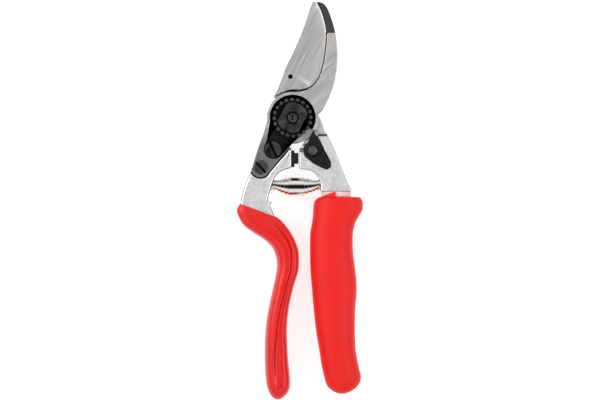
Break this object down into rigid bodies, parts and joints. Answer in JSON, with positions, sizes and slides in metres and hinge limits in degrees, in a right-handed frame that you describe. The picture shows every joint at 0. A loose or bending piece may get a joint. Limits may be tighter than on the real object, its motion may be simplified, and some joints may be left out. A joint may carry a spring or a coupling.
{
  "type": "bypass pruner",
  "caption": "Closed bypass pruner with a hooked anvil blade, toothed pivot nut, thumb catch, volute spring, dipped handle and rotating grip.",
  "frame": {"origin": "on the pivot axis, at the back face of the pivot bolt's head, which is the plane it rests on", "axes": "+Y to the blade tip, +Z out of the pivot towards the nut side, +X to the rotating grip's side"},
  "size_m": [0.0665, 0.21, 0.0189],
  "materials": {
    "cast_aluminium": "forged, satin, bright edges",
    "red_coat": "glossy dipped coat",
    "red_grip": "satin",
    "ground_steel": "ground, diagonal lines",
    "black_steel": "black oxide, worn",
    "black_oxide": "black oxide",
    "bright_steel": "polished",
    "bronze": "machined bronze",
    "black_rubber": "matte",
    "black_plastic": "satin",
    "pale_collar": "satin"
  },
  "bodies": {
    "fixed_half": {"fixed_frame": "cast_aluminium", "fixed_coating": "red_coat", "anvil_blade": "ground_steel", "anvil_screw": "black_steel", "segment_screw": "black_steel", "frame_nuts": "black_steel", "toothed_segment": "black_oxide", "pivot_nut": "black_oxide", "pivot_bolt": "black_steel", "rubber_stop": "black_rubber", "volute_spring": "bright_steel"},
    "moving_half": {"moving_frame": "cast_aluminium", "cutting_blade": "ground_steel", "blade_rivets": "bright_steel", "pivot_bush": "bronze", "thrust_washer": "bronze", "grip_spindle": "bright_steel", "grip_collar": "pale_collar", "spindle_clip": "black_steel", "catch_seat": "black_plastic", "catch_bolt": "black_steel", "catch_pin": "bright_steel"},
    "catch": {"thumb_catch": "black_plastic"},
    "grip": {"grip_core": "cast_aluminium", "grip_bushes": "bronze", "grip_sleeve": "red_grip"}
  },
  "joints": [
    {"name": "handle_pivot", "type": "hinge", "parent": "fixed_half", "child": "moving_half", "pos_m": [0, 0, 0.0075], "axis": [0, 0, 1], "range_deg": [0, 32], "deforming": ["volute_spring"]},
    {"name": "catch_swing", "type": "hinge", "parent": "moving_half", "child": "catch", "pos_m": [0.0105, -0.0173, 0.016], "axis": [0, 0, 1], "range_deg": [-18, 0]},
    {"name": "grip_swivel", "type": "hinge", "parent": "moving_half", "child": "grip", "pos_m": [0.0228, -0.08, 0.0095], "axis": [0, 1, 0], "range_deg": [-30, 30]}
  ]
}
